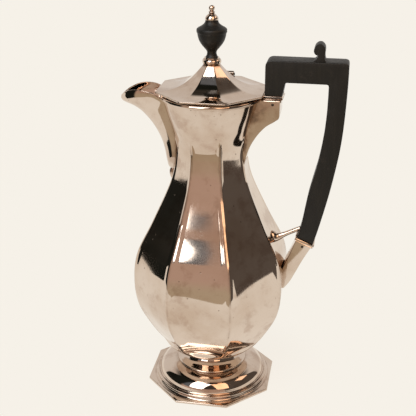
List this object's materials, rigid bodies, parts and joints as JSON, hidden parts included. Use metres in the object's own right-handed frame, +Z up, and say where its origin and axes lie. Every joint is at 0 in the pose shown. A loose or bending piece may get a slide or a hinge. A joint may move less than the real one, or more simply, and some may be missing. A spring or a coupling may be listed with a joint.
{
  "type": "coffee pot",
  "caption": "Tall eight-sided pear-shaped coffee pot on a stepped foot, with a side-hinged pyramid lid, a beak spout and an ebony loop handle.",
  "frame": {"origin": "centre of the underside of the foot", "axes": "+Z up, +X towards the handle, -X towards the spout, +Y towards the lid hinge"},
  "size_m": [0.1318, 0.091, 0.2418],
  "materials": {
    "silver": "hand-polished silver with light tarnish along the seams",
    "ebony": "satin oiled ebony",
    "steel": "dull drawn wire"
  },
  "bodies": {
    "pot": {"foot_plate": "silver", "foot_moulding": "silver", "foot_dome": "silver", "foot_stem": "silver", "body_shell": "silver", "rim_wire": "silver", "spout": "silver", "spout_drop": "silver", "upper_socket": "silver", "upper_socket_lip": "silver", "lower_socket": "silver", "lower_socket_lip": "silver", "handle": "ebony", "upper_handle_pin": "steel", "lower_handle_pin": "steel", "handle_brace": "silver", "body_hinge": "silver", "hinge_pin": "steel"},
    "lid": {"lid_cover": "silver", "lid_bezel": "silver", "lid_knuckle_1": "silver", "lid_knuckle_2": "silver", "finial_collar": "silver", "finial_urn": "ebony", "finial_cap": "silver", "finial_bolt": "steel", "finial_washer": "silver", "finial_nut": "silver"}
  },
  "joints": [
    {"name": "lid_hinge", "type": "hinge", "parent": "pot", "child": "lid", "pos_m": [0, 0.03316, 0.1944], "axis": [-1, 0, 0], "range_deg": [0, 100]}
  ]
}
